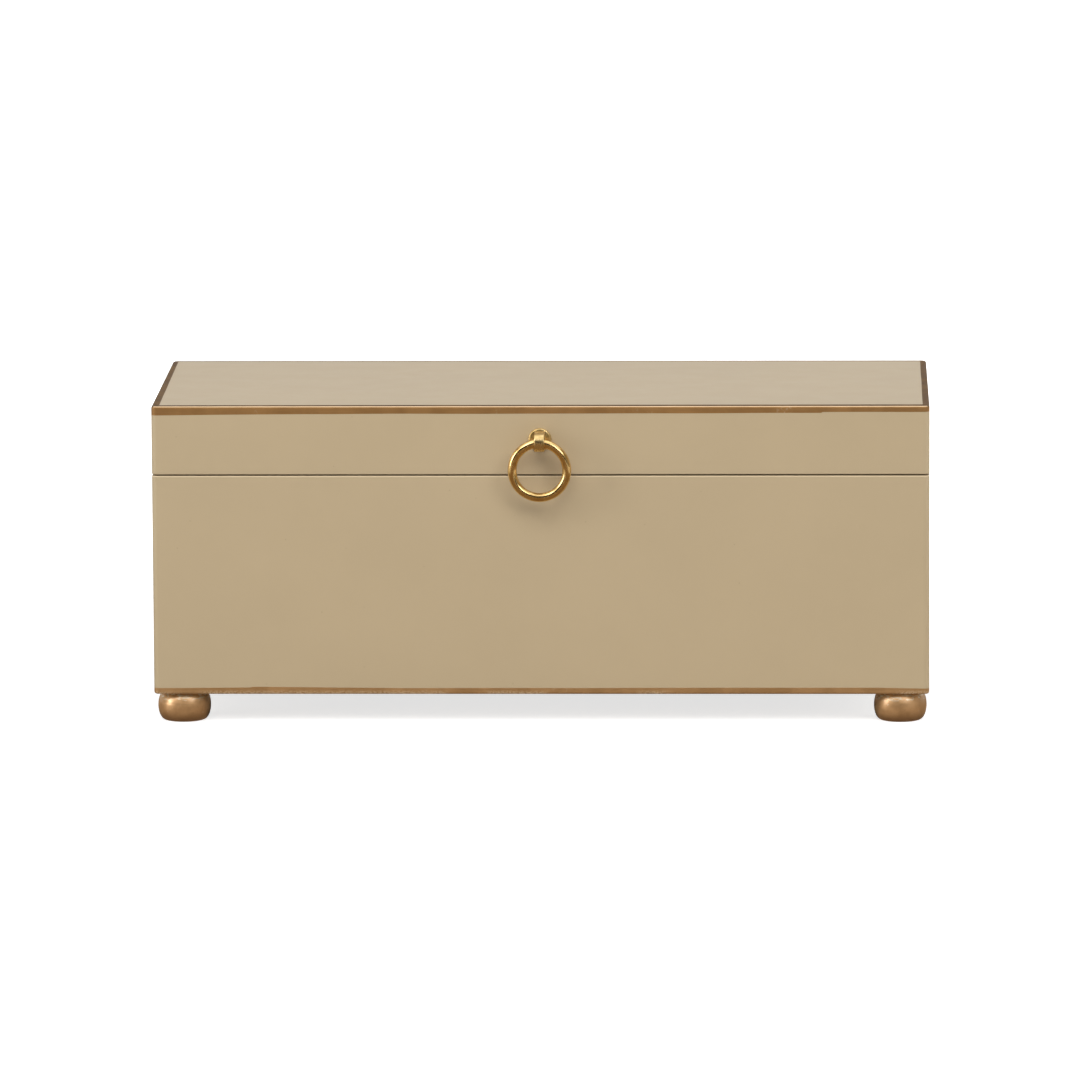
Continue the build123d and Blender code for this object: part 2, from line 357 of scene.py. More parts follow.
@dataclass(frozen=True)
class GoldPaint:
    """Bronze gold paint, brushed on by hand along the edges of the case.

    Attributes:
        name: The material's name.
        colour: The paint's colour where it is full.
        thin: Its colour where the brush ran thin.
        scuff: The pale colour where handling has rubbed it.
        lit: How much brighter brush streaks are than the paint, and chips than a scuff.
        chipped_edge: The height of an edge along which the paint is chipped, or None.
        chip_reach: How far up from that edge the chips go.
        chip_runs: Chipped stretches to the metre. The minus puts most of them on the left.
    """

    name: str = "gold_band_paint"
    colour: Colour = (0.342, 0.181, 0.062)
    thin: Colour = (0.291, 0.152, 0.051)
    scuff: Colour = (0.55, 0.40, 0.24)
    lit: float = 1.25
    chipped_edge: float | None = None
    chip_reach: float = 0.0024
    chip_runs: Triple = (-22.0, 22.0, 22.0)

    def make(self) -> Material:
        """Make the material.

        Returns:
            The material of a band.
        """
        shader = Shader(self.name)
        brushed = shader.noise((40, 40, 1500), 3, 0.6)
        patches = shader.noise(90, 4, 0.6)
        colour = shader.mixed(shader.spread(patches, NARROW), self.thin, self.colour)
        streaks = shader.spread(brushed, (0.45, 0.8), (0.0, 0.35))
        colour = shader.mixed(streaks, colour, shaded(self.colour, self.lit))
        scuffed = shader.times(
            shader.spread(shader.noise(45, 2, 0.5), (0.62, 0.72)),
            shader.spread(shader.noise(700, 4, 0.7), (0.54, 0.64), (0.0, 0.45)),
        )
        colour = shader.mixed(scuffed, colour, self.scuff)
        if self.chipped_edge is not None:
            chips = self.chipped(shader)
            colour = shader.mixed(chips, colour, shaded(self.scuff, self.lit))
        shader.set(
            base_color=colour,
            metallic=0.4,
            roughness=shader.spread(patches, WIDE, (0.46, 0.56)),
            specular_ior_level=0.4,
            normal=shader.bump(brushed, 0.00004, 0.4),
        )
        return shader.material

    def chipped(self, shader: Shader) -> Socket:
        """Mark the chips along the chipped edge.

        Args:
            shader: The shader that gets the nodes.

        Returns:
            1 where the paint is gone, and 0 elsewhere.
        """
        reach = self.chipped_edge + self.chip_reach
        near_edge = shader.spread(shader.height(), (reach, self.chipped_edge))
        runs = shader.spread(shader.noise(self.chip_runs, 2, 0.5), (0.48, 0.55))
        flakes = shader.spread(shader.noise(1300, 3, 0.6), (0.42, 0.55))
        return shader.times(shader.times(near_edge, runs), flakes)


# A paler paint along the lid's front rounded edge: a painted highlight
HIGHLIGHT_PAINT = GoldPaint("rubbed_band_paint", (0.86, 0.64, 0.40), (0.80, 0.58, 0.35))

# Round the base, paler, and chipped where the feet meet it
PALE_PAINT = GoldPaint(
    "pale_gold_band_paint",
    (0.455, 0.257, 0.108),
    (0.386, 0.214, 0.085),
    chipped_edge=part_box("base_bottom")[0].z,
)


@dataclass(frozen=True)
class ShadedBandPaint:
    """The band paint made dark brown on the faces that face up: painted shade.

    Attributes:
        colour: The dark brown of the painted shade.
        gold: Its less dark colour, in patches.
        lit: How much brighter than that its grain is.
    """

    colour: Colour = (0.095, 0.058, 0.033)
    gold: Colour = (0.155, 0.095, 0.048)
    lit: float = 1.2

    def make(self) -> Material:
        """Make the material.

        Returns:
            The material of the bands' painted shade.
        """
        shader = Shader("worn_band_paint")
        patches = shader.noise(70, 4, 0.65)
        grain = shader.noise(900, 3, 0.6)
        colour = shader.mixed(shader.spread(patches, (0.4, 0.65)), self.colour, self.gold)
        grained = shader.spread(grain, (0.4, 0.75), (0.0, 0.4))
        shader.set(
            base_color=shader.mixed(grained, colour, shaded(self.gold, self.lit)),
            roughness=shader.spread(patches, WIDE, (0.6, 0.7)),
            specular_ior_level=0.06,
            normal=shader.bump(grain, 0.00003, 0.4),
        )
        return shader.material


@dataclass(frozen=True)
class GiltWood:
    """Turned wood under brushed satin gold paint.

    Attributes:
        top: The height of the foot's top, where the paint has cracked against the board.
        colour: The paint's colour.
        deep: Its colour where it has pooled.
        lit: How much brighter than the paint the brush strokes are.
        worn: The pale colour where it was rubbed or is bare.
        crack_reach: Where the cracks fade in and are full, down from the top.
        dark_reflection: Its colour at the floor, where the foot has darkened.
        dark_reflection_reach: How far up from the floor that goes.
    """

    top: float
    colour: Colour = (0.77, 0.475, 0.23)
    deep: Colour = (0.61, 0.36, 0.165)
    lit: float = 1.2
    worn: Colour = (0.78, 0.64, 0.45)
    crack_reach: Range = (0.0042, 0.00252)
    # dark_reflection: Its colour at the floor, a painted dark reflection.
    dark_reflection: Colour = (0.30, 0.165, 0.075)
    # dark_reflection_reach: How far up from the floor the painted reflection goes.
    dark_reflection_reach: float = 0.0062

    def make(self) -> Material:
        """Make the material.

        Returns:
            The material of the feet.
        """
        shader = Shader("gilt_wood")
        strokes = shader.noise((120, 120, 900), 4, 0.6)
        pools = shader.noise(150, 3, 0.5)
        colour = shader.mixed(shader.spread(pools, NARROW), self.deep, self.colour)
        brushed = shader.spread(strokes, (0.5, 0.8), (0.0, 0.4))
        colour = shader.mixed(brushed, colour, shaded(self.colour, self.lit))
        chips = shader.spread(shader.noise(800, 3, 0.6), (0.68, 0.74))
        colour = shader.mixed(chips, colour, self.worn)
        height = shader.height()
        fades, full = (self.top - reach for reach in self.crack_reach)
        cracks = shader.times(
            shader.spread(height, (fades, full)),
            shader.spread(shader.noise((380, 380, 1300), 3, 0.6), (0.53, 0.58)),
        )
        colour = shader.mixed(cracks, colour, self.worn)
        # Darker towards the floor: a painted dark reflection
        dark_reflection_share = shader.spread(height, (self.dark_reflection_reach, 0.0))
        shader.set(
            base_color=shader.mixed(dark_reflection_share, colour, self.dark_reflection),
            metallic=0.75,
            roughness=shader.spread(strokes, WIDE, (0.38, 0.48)),
            coat_weight=1.0,
            coat_roughness=0.27,
            normal=shader.bump(pools, 0.0002, 0.3, shader.bump(strokes, 0.00008, 0.5)),
        )
        return shader.material


@dataclass(frozen=True)
class Metal:
    """Bare metal that has dulled in places.

    Attributes:
        name: The material's name.
        bright: The metal's colour.
        dull: Its colour where it has dulled.
        dulling: The pattern of the dulled places.
        dulled: Where on that pattern the dulling starts and is full.
        roughness: The roughness at the low and at the high end of that pattern.
        marks: The pattern of the fine marks in the surface.
        mark_depth: The depth of those marks.
        mark_strength: How much of them shows.
    """

    name: str
    bright: Colour
    dull: Colour
    dulling: Pattern
    dulled: Range
    roughness: Range
    marks: Pattern
    mark_depth: float = 0.00001
    mark_strength: float = 0.4

    def make(self) -> Material:
        """Make the material.

        Returns:
            The material of the fittings.
        """
        shader = Shader(self.name)
        dulling = shader.noise(*self.dulling)
        marks = shader.noise(*self.marks)
        shader.set(
            base_color=shader.mixed(shader.spread(dulling, self.dulled), self.bright, self.dull),
            metallic=1.0,
            roughness=shader.spread(dulling, WIDE, self.roughness),
            normal=shader.bump(marks, self.mark_depth, self.mark_strength),
        )
        return shader.material


# Cast brass, polished bright, with fine scratches around the ring
BRIGHT_BRASS = Metal(
    name="bright_brass",
    bright=(0.83, 0.58, 0.25),
    dull=(0.70, 0.455, 0.165),
    dulling=(260, 4, 0.6),
    dulled=(0.42, 0.68),
    roughness=(0.11, 0.19),
    marks=((900, 2600, 900), 3, 0.7),
)

# Cast brass, tumbled to a soft shine that its hollows lack
CAST_BRASS = Metal(
    name="cast_brass",
    bright=(0.76, 0.56, 0.26),
    dull=(0.53, 0.37, 0.14),
    dulling=(330, 3, 0.5),
    dulled=(0.45, 0.7),
    roughness=(0.25, 0.34),
    marks=(700, 4, 0.6),
    mark_depth=0.00003,
)

# Hinge brass, rolled and brushed along the hinge, and duller between the brush lines
BRUSH_LINES: Pattern = ((60, 3200, 3200), 4, 0.65)
ROLLED_BRASS = Metal(
    name="rolled_brass",
    bright=(0.74, 0.57, 0.32),
    dull=(0.62, 0.46, 0.24),
    dulling=BRUSH_LINES,
    dulled=NARROW[::-1],
    roughness=(0.26, 0.4),
    marks=BRUSH_LINES,
    mark_strength=0.5,
)
SCREW_BRASS = replace(
    ROLLED_BRASS, name="screw_brass", bright=(0.50, 0.37, 0.20), dull=(0.40, 0.29, 0.15)
)

# Zinc plated steel, a little cloudy
CLOUDY_ZINC = Metal(
    name="cloudy_zinc",
    bright=(0.66, 0.66, 0.64),
    dull=(0.50, 0.51, 0.50),
    dulling=(500, 4, 0.6),
    dulled=NARROW[::-1],
    roughness=(0.28, 0.42),
    marks=(1400, 2, 0.5),
    mark_depth=0.00002,
    mark_strength=0.3,
)


@dataclass(frozen=True)
class Felt:
    """Short wool felt.

    Attributes:
        colour: The felt's colour.
        fibre: The colour of its paler fibres.
        shade: How bright the felt is between those fibres.
    """

    colour: Colour = (0.30, 0.235, 0.16)
    fibre: Colour = (0.42, 0.345, 0.25)
    shade: float = 0.8

    def make(self) -> Material:
        """Make the material.

        Returns:
            The material of the lining and the dots.
        """
        shader = Shader("wool_felt")
        matted = shader.times(
            shader.noise((1500, 700, 1500), 5, 0.75, turn=0.6),
            shader.noise((700, 1500, 1500), 5, 0.75, turn=0.2),
        )
        paler = shader.spread(matted, (0.14, 0.4))
        colour = shader.mixed(paler, shaded(self.colour, self.shade), self.fibre)
        tufts = shader.spread(shader.noise(110, 4, 0.6), (0.4, 0.7), (0.0, 0.35))
        shader.set(
            base_color=shader.mixed(tufts, colour, self.colour),
            roughness=1.0,
            specular_ior_level=0.1,
            sheen_weight=0.35,
            sheen_roughness=0.5,
            normal=shader.bump(matted, 0.0004, 0.6),
        )
        return shader.material


def in_scene(name: str, data: bpy.types.ID) -> bpy.types.Object:
    """Make an object and put it in the scene.

    Args:
        name: The object's name.
        data: Its mesh, lamp or camera.

    Returns:
        The object.
    """
    made = bpy.data.objects.new(name, data)
    bpy.context.scene.collection.objects.link(made)
    return made


def plain_object(name: str, mesh: Mesh) -> bpy.types.Object:
    """Make an object of a bmesh.

    Args:
        name: The object's name.
        mesh: The shape, in place, which is freed.

    Returns:
        The object, at the origin.
    """
    data = bpy.data.meshes.new(name)
    mesh.to_mesh(data)
    mesh.free()
    return in_scene(name, data)


def add_piece(
    name: str, mesh: Mesh, body: Body, slot: Slot, *finishes: Material
) -> bpy.types.Object:
    """Make an object of a finished bmesh, smooth apart from its sharp edges, and dress it.

    Args:
        name: The piece's name.
        mesh: The shape, in place, which is freed.
        body: The body that it rides on.
        slot: Its material slot. Not used.
        *finishes: Its materials, in the order that its faces count them.

    Returns:
        The object, at the origin.
    """
    bmesh.ops.recalc_face_normals(mesh, faces=mesh.faces[:])
    for edge in mesh.edges:
        edge.smooth = edge.calc_face_angle(0) < SHARP_TURN
    for face in mesh.faces:
        face.smooth = True
    piece = plain_object(name, mesh)
    piece.modifiers.new("flat_faces_stay_flat", "WEIGHTED_NORMAL").keep_sharp = True
    for finish in finishes:
        piece.data.materials.append(finish)
    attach(piece, body.value)
    log.info("%s: %d faces", name, len(piece.data.polygons))
    return piece


def dress_nodes(finish: Material, *names: str) -> None:
    """Give CAD nodes that stay in view a material.

    Args:
        finish: The material.
        *names: The nodes' names.
    """
    for name in names:
        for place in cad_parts[name].material_slots:
            place.material = finish
        log.info("%s: CAD node in %s", name, finish.name)


def block(low: Vector, high: Vector) -> Mesh:
    """Make a box between two corners.

    Args:
        low: The corner with the lowest coordinates.
        high: The corner with the highest.

    Returns:
        The box.
    """
    mesh = bmesh.new()
    bmesh.ops.create_cube(mesh, size=1.0)
    bmesh.ops.scale(mesh, vec=high - low, verts=mesh.verts)
    bmesh.ops.translate(mesh, vec=(low + high) / 2, verts=mesh.verts)
    return mesh


def upright_edges(mesh: Mesh) -> Edges:
    """Return the edges of a mesh that aren't level."""
    return [e for e in mesh.edges if abs(e.verts[0].co.z - e.verts[1].co.z) > TINY]


def edges_at(mesh: Mesh, height: float) -> Edges:
    """Return the edges of a mesh that lie at a height."""
    return [e for e in mesh.edges if all(abs(v.co.z - height) < TINY for v in e.verts)]


def round_edges(mesh: Mesh, edges: Edges, radius: float, segments: int) -> None:
    """Round some edges of a mesh.

    Args:
        mesh: The mesh to change.
        edges: The edges to round.
        radius: The radius of the round.
        segments: How many faces it has across.
    """
    bmesh.ops.bevel(
        mesh,
        geom=edges,
        offset=radius,
        offset_type="OFFSET",
        segments=segments,
        profile=0.5,
        affect="EDGES",
        clamp_overlap=False,
        material=-1,
    )


def cut(mesh: Mesh, axis: int, place: float) -> None:
    """Cut all faces of a mesh along a plane, and keep both sides.

    Args:
        mesh: The mesh to cut.
        axis: The axis that the plane is square to.
        place: Where on that axis it lies.
    """
    bmesh.ops.bisect_plane(
        mesh,
        geom=mesh.verts[:] + mesh.edges[:] + mesh.faces[:],
        dist=TINY,
        plane_co=AXES[axis] * place,
        plane_no=AXES[axis],
    )


def turn_round(mesh: Mesh, centre: Vector, axis: int, steps: int) -> None:
    """Turn an outline once round into a closed surface.

    Args:
        mesh: The mesh that holds the outline.
        centre: A point on the axis that it turns about.
        axis: The direction of that axis.
        steps: How many steps the turn has.
    """
    bmesh.ops.spin(
        mesh,
        geom=mesh.verts[:] + mesh.edges[:],
        cent=centre,
        axis=AXES[axis],
        angle=tau,
        steps=steps,
        use_merge=True,
    )
    bmesh.ops.remove_doubles(mesh, verts=mesh.verts, dist=TINY)


def evenly(low: float, high: float, pitch: float) -> list[float]:
    """Return places from low to high, both included, about a pitch apart."""
    count = max(1, round((high - low) / pitch))
    return [low + (high - low) * n / count for n in range(count + 1)]


@dataclass(frozen=True)
class Stroke:
    """One brush stroke of a hand painted band, straight but for a slight wander.

    Attributes:
        start: Where it starts along the band, from 0 to 1.
        end: Where it ends.
        start_width: The band's width there at the start.
        end_width: The band's width there at the end.
    """

    start: float
    end: float
    start_width: float
    end_width: float


@dataclass(frozen=True)
class PaintedEdge:
    """The free edge of a painted band along one side of a face.

    Attributes:
        strokes: The strokes, one after the other, that cover it from 0 to 1.
        wander: How far the brush wanders from a stroke's straight line.
        wave: The length of that wander.
        seed: What sets one edge's wander apart from another's.
    """

    strokes: tuple[Stroke, ...]
    wander: float = 0.00012
    wave: float = 0.035
    seed: float = 0.0

    @property
    def joints(self) -> list[float]:
        """Where one stroke ends and the next begins."""
        return [stroke.end for stroke in self.strokes[:-1]]

    @property
    def width(self) -> float:
        """The band's mean width."""
        return sum((s.end - s.start) * (s.start_width + s.end_width) / 2 for s in self.strokes)

    def width_at(self, share: float, place: float) -> float:
        """Return the band's width.

        Args:
            share: Where along the band, from 0 to 1.
            place: The same place in metres, for the wander.

        Returns:
            The width, from the edge of the case to the edge of the paint.
        """
        stroke = next((s for s in self.strokes if share <= s.end), self.strokes[-1])
        along = (share - stroke.start) / (stroke.end - stroke.start)
        straight = stroke.start_width + (stroke.end_width - stroke.start_width) * along
        return straight + self.wander * noise.noise(Vector((place / self.wave, self.seed, 0.5)))


def stroked_edge(seed: float, *strokes: tuple[float, float, float, float]) -> PaintedEdge:
    """Return a painted edge of strokes, each given by its two ends and the widths there."""
    return PaintedEdge(tuple(Stroke(*stroke) for stroke in strokes), seed=seed)


def even_edge(seed: float, start_width: float, end_width: float) -> PaintedEdge:
    """Return a painted edge of a single stroke."""
    return stroked_edge(seed, (0.0, 1.0, start_width, end_width))


@dataclass
class BandedBoard:
    """A flat board that closes the case, with a gold band painted round its outer edges.

    Attributes:
        node: The CAD board that it stands for.
        faces_up: Whether the rounded edge and the band are at the top.
        wall_bands: The free edge of the band on each side's upright face.
        face_bands: The free edge of the band on the flat face, beside each side, or nothing
            where the flat face isn't painted.
        corner_radius: The round of the upright corners.
        corner_steps: How many faces that round has across.
        edge_radius: The round of the edges that the band covers.
        edge_steps: How many faces that round has across.
        pitch: The distance between the points that shape the band's free edge.
        joint_gap: The length over which one stroke's width gives way to the next.
        rubbed_from: How far up the front's rounded edge faces where a paler paint is laid as a
            painted highlight.
        worn_from: How far up the other rounded edges face where they get the painted shade.
        flat_from: How far up the front's rounded edge faces where it gets the same painted shade
            as the flat face.
    """

    node: str
    faces_up: bool
    wall_bands: dict[Side, PaintedEdge]
    face_bands: dict[Side, PaintedEdge] = field(default_factory=dict)
    corner_radius: float = 0.0024
    corner_steps: int = 10
    edge_radius: float = 0.001
    edge_steps: int = 6
    pitch: float = 0.005
    joint_gap: float = 0.0006
    rubbed_from: float = 0.7
    worn_from: float = 0.5
    flat_from: float = 0.95

    def __post_init__(self) -> None:
        """Take the board's place from the frame."""
        self.low, self.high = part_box(self.node)
        self.face_height = self.high.z if self.faces_up else self.low.z
        self.inward = -1 if self.faces_up else 1

    def limits(self, side: Side) -> Range:
        """Return where a side starts and ends, along its length."""
        return self.low[side.along], self.high[side.along]

    def outer(self, side: Side) -> float:
        """Return the coordinate of a side's outer face, across its length."""
        return (self.high if side.sign > 0 else self.low)[side.across]

    def band_line(self, side: Side) -> float:
        """Return the coordinate of the mean free edge of the band on the flat face."""
        return self.outer(side) - side.sign * self.face_bands[side].width

    def band_height(self) -> float:
        """Return the mean height of the free edge of the band on the upright faces."""
        widths = [edge.width for edge in self.wall_bands.values()]
        return self.face_height + self.inward * sum(widths) / len(widths)

    def bends(self, side: Side) -> list[float]:
        """List where the free edges along a side may bend, with two places at each joint.

        Args:
            side: The side. The one across from it bends at the same places.

        Returns:
            The places along its length.
        """
        start, end = self.limits(side)
        margin = self.corner_radius + self.pitch
        places = evenly(start + margin, end - margin, self.pitch)
        for joint in self.wall_bands[side].joints:
            place = start + (end - start) * joint
            places = [p for p in places if abs(p - place) > self.pitch / 2]
            places += [place - self.joint_gap / 2, place + self.joint_gap / 2]
        return places

    def shape(self) -> Mesh:
        """Round the board, and cut it along the bands and where their free edges may bend.

        Returns:
            The board's mesh.
        """
        mesh = block(self.low, self.high)
        round_edges(mesh, upright_edges(mesh), self.corner_radius, self.corner_steps)
        round_edges(mesh, edges_at(mesh, self.face_height), self.edge_radius, self.edge_steps)
        cut(mesh, 2, self.band_height())
        for side in self.face_bands:
            cut(mesh, side.across, self.band_line(side))
        for side in (Side.FRONT, Side.LEFT):
            for place in self.bends(side):
                cut(mesh, side.along, place)
        return mesh

    def coat_of(self, face: bmesh.types.BMFace) -> Coat:
        """Tell what covers a face.

        Args:
            face: A face of the cut board, before its free edges are painted.

        Returns:
            Its coat.
        """
        middle = face.calc_center_median()
        if (middle.z - self.band_height()) * self.inward > 0:
            return Coat.LACQUER
        if abs(middle.z - self.face_height) > TINY:
            return self.rounded_coat(face.normal) if self.face_bands else Coat.GOLD
        # The band on the flat face gets the painted shade
        banded = any(
            (middle[side.across] - self.band_line(side)) * side.sign > 0
            for side in self.face_bands
        )
        return Coat.WORN if banded else Coat.LACQUER

    def rounded_coat(self, normal: Vector) -> Coat:
        """Tell what covers a banded face that isn't flat: painted shade up high, and a painted
        highlight in front.

        Args:
            normal: The direction that the face faces.

        Returns:
            Its coat.
        """
        # Faces turned up get the painted shade, and the front's edge below them the painted
        # highlight
        at_front = normal.y < -abs(normal.x)
        if normal.z > (self.flat_from if at_front else self.worn_from):
            return Coat.WORN
        return Coat.RUBBED if at_front and normal.z > self.rubbed_from else Coat.GOLD

    def wall_side(self, point: Vector) -> Side:
        """Return the side whose upright face a point is nearest to."""
        return min(Side, key=lambda side: abs(point[side.across] - self.outer(side)))

    def is_on_flat(self, point: Vector) -> bool:
        """Return whether a point lies on the flat face, clear of its rounded border."""
        border = self.edge_radius + TINY
        return abs(point.z - self.face_height) <= TINY and all(
            self.low[axis] + border < point[axis] < self.high[axis] - border for axis in (0, 1)
        )

    def width_beside(self, edge: PaintedEdge, side: Side, point: Vector) -> float:
        """Find the width of a band at a point beside it.

        Args:
            edge: The band's free edge.
            side: The side that the band runs along.
            point: The point.

        Returns:
            The width.
        """
        start, end = self.limits(side)
        place = point[side.along]
        return edge.width_at((place - start) / (end - start), place)

    def paint_free_edges(self, mesh: Mesh) -> None:
        """Move the points along the bands' free edges to where the brush left them.

        Args:
            mesh: The cut board.
        """
        height = self.band_height()
        lines = {side: self.band_line(side) for side in self.face_bands}
        for vert in mesh.verts:
            point = vert.co.copy()
            if abs(point.z - height) < TINY:
                side = self.wall_side(point)
                width = self.width_beside(self.wall_bands[side], side, point)
                vert.co.z = self.face_height + self.inward * width
            if not self.is_on_flat(point):
                continue
            for side, line in lines.items():
                if abs(point[side.across] - line) <= TINY:
                    width = self.width_beside(self.face_bands[side], side, point)
                    vert.co[side.across] = self.outer(side) - side.sign * width

    def build(self, body: Body, *coats: Material) -> None:
        """Build the board, paint its bands and put it in place of the CAD board.

        Args:
            body: The body that it rides on.
            *coats: The materials of its coats, in the order of Coat.
        """
        mesh = self.shape()
        mesh.normal_update()
        for face in mesh.faces:
            face.material_index = self.coat_of(face).value
        self.paint_free_edges(mesh)
        piece = add_piece(f"{self.node}_board", mesh, body, Slot.LACQUER, *coats)
        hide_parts(self.node)


@dataclass
class BunFoot:
    """A turned bun foot, bored from below for its screw.

    Attributes:
        node: The CAD foot that it stands for.
        flat_radius: The radius of its flat top and bottom.
        bore_radius: The radius of the bore for the screw's head.
        bore_depth: The depth of that bore.
        hole_radius: The radius of the screw hole.
        fullness: The power of the sine that shapes its side, less than 1 where it is fuller
            than a half round.
        side_steps: How many steps its round side has.
        turn_steps: How many steps it has around.
        unevenness: How far its hand sanded side departs from true.
        uneven_scale: Uneven places to the metre.
    """

    node: str
    flat_radius: float = 0.0083
    bore_radius: float = 0.004
    bore_depth: float = 0.006
    hole_radius: float = 0.00185
    fullness: float = 0.85
    side_steps: int = 28
    turn_steps: int = 72
    unevenness: float = 0.00018
    uneven_scale: float = 90.0

    def outline(self, radius: float, height: float) -> list[Range]:
        """Draw the half section.

        Args:
            radius: The foot's largest radius.
            height: The foot's height.

        Returns:
            Its points, as distances from the axis and heights above the floor.
        """
        angles = [pi * n / self.side_steps for n in range(self.side_steps + 1)]
        swell = radius - self.flat_radius
        side = [
            (self.flat_radius + swell * sin(angle) ** self.fullness, height / 2 * (1 - cos(angle)))
            for angle in angles
        ]
        bore = [
            (self.hole_radius, self.bore_depth),
            (self.bore_radius, self.bore_depth),
            (self.bore_radius, 0.0),
        ]
        return bore + side + [(self.hole_radius, height)]

    def build(self, gilt: Material) -> None:
        """Turn the foot and put it in place of the CAD foot.

        Args:
            gilt: The material of the foot.
        """
        low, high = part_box(self.node)
        middle = (low + high) / 2
        axis_foot = Vector((middle.x, middle.y, 0))
        radius = (high.x - low.x) / 2 - self.unevenness / 2
        mesh = bmesh.new()
        verts = [
            mesh.verts.new(axis_foot + Vector((distance, 0, height)))
            for distance, height in self.outline(radius, high.z)
        ]
        for pair in zip(verts, verts[1:] + verts[:1]):
            mesh.edges.new(pair)
        turn_round(mesh, axis_foot, 2, self.turn_steps)
        for vert in mesh.verts:
            from_axis = Vector((vert.co.x - middle.x, vert.co.y - middle.y, 0))
            if from_axis.length > self.flat_radius + TINY:
                bulge = self.unevenness * noise.noise(vert.co * self.uneven_scale)
                vert.co += from_axis.normalized() * bulge
        piece = add_piece(f"{self.node}_turned", mesh, Body.BASE, Slot.GILT, gilt)
        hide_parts(self.node)


@dataclass
class RingPull:
    """The ring pull: a ring that hangs in the eye of a cast post, and what holds the post.

    Attributes:
        ring_steps: How many steps the ring has around.
        wire_steps: How many steps its wire has around.
    """

    ring_steps: int = 160
    wire_steps: int = 32

    def build(self, brass: Material, cast: Material, steel: Material) -> None:
        """Turn the ring in place of the CAD ring, and dress its post and what holds that.

        Args:
            brass: The material of the ring.
            cast: The material of the post.
            steel: The material of the washer and the screw.
        """
        low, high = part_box("pull_ring")
        middle = (low + high) / 2
        wire = (high.y - low.y) / 2
        radius = (high.x - low.x) / 2 - wire
        mesh = bmesh.new()
        section = Matrix.Translation(middle + Vector((radius, 0, 0)))
        bmesh.ops.create_circle(mesh, segments=self.wire_steps, radius=wire, matrix=section)
        turn_round(mesh, middle, 1, self.ring_steps)
        piece = add_piece("ring_bent_wire", mesh, Body.RING, Slot.POLISHED_BRASS, brass)
        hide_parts("pull_ring")
        dress_nodes(cast, "ring_post")
        dress_nodes(steel, "post_washer", "post_screw")


@dataclass
class FeltWork:
    """The felt on the floor of the base, and the two felt dots that the lid comes down on.

    Attributes:
        edge_round: The soft round of the lining's cut edges, twice that of the dots'.
        edge_steps: How many faces such a round has across.
        dot_steps: How many steps a dot has around.
        pitch: The distance between the points of the lining's surface.
        unevenness: How far the glued felt rises and falls.
        uneven_scale: Rises to the metre.
    """

    edge_round: float = 0.0004
    edge_steps: int = 3
    dot_steps: int = 40
    pitch: float = 0.004
    unevenness: float = 0.00025
    uneven_scale: float = 60.0

    def build_lining(self, felt: Material) -> None:
        """Lay the lining in place of its CAD block.

        Args:
            felt: The material of the lining.
        """
        low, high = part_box("floor_lining")
        mesh = block(low, high)
        round_edges(mesh, edges_at(mesh, high.z), self.edge_round, self.edge_steps)
        for axis in (0, 1):
            for place in evenly(low[axis] + self.pitch, high[axis] - self.pitch, self.pitch):
                cut(mesh, axis, place)
        for vert in mesh.verts:
            if vert.co.z > high.z - TINY:
                fall = 0.5 + 0.5 * noise.noise(vert.co * self.uneven_scale)
                vert.co.z -= self.unevenness * fall
        piece = add_piece("lining_felt", mesh, Body.BASE, Slot.FELT, felt)
        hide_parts("floor_lining")

    def build_bumpers(self, felt: Material) -> None:
        """Set the two dots in place of their CAD discs.

        Args:
            felt: The material of the dots.
        """
        low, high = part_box("rim_bumpers")
        radius = (high.y - low.y) / 2
        mesh = bmesh.new()
        for x in (low.x + radius, high.x - radius):
            middle = Vector((x, (low.y + high.y) / 2, (low.z + high.z) / 2))
            bmesh.ops.create_cone(
                mesh,
                cap_ends=True,
                segments=self.dot_steps,
                radius1=radius,
                radius2=radius,
                depth=high.z - low.z,
                matrix=Matrix.Translation(middle),
            )
        round_edges(mesh, edges_at(mesh, high.z), self.edge_round / 2, self.edge_steps)
        piece = add_piece("rim_felt_dots", mesh, Body.BASE, Slot.FELT, felt)
        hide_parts("rim_bumpers")

    def build(self, felt: Material) -> None:
        """Build the lining and the dots."""
        self.build_lining(felt)
        self.build_bumpers(felt)


@dataclass(frozen=True)
class SoftBox:
    """A soft rectangular lamp that faces the box.

    Attributes:
        name: The lamp's name.
        place: Where it stands.
        width: Its width.
        height: Its height.
        power: Its power in watts.
        mirrored: Whether it shows in reflections.
    """

    name: str
    place: Triple
    width: float
    height: float
    power: float
    mirrored: bool = True

    def light(self, target: Vector) -> None:
        """Set the lamp up.

        Args:
            target: The place that it is turned towards.
        """
        lamp = bpy.data.lights.new(self.name, "AREA")
        lamp.shape = "RECTANGLE"
        lamp.size = self.width
        lamp.size_y = self.height
        lamp.energy = self.power
        holder = in_scene(self.name, lamp)
        holder.location = self.place
        towards = target - Vector(self.place)
        holder.rotation_euler = towards.to_track_quat("-Z", "Y").to_euler()
        holder.visible_camera = False
        holder.visible_glossy = self.mirrored


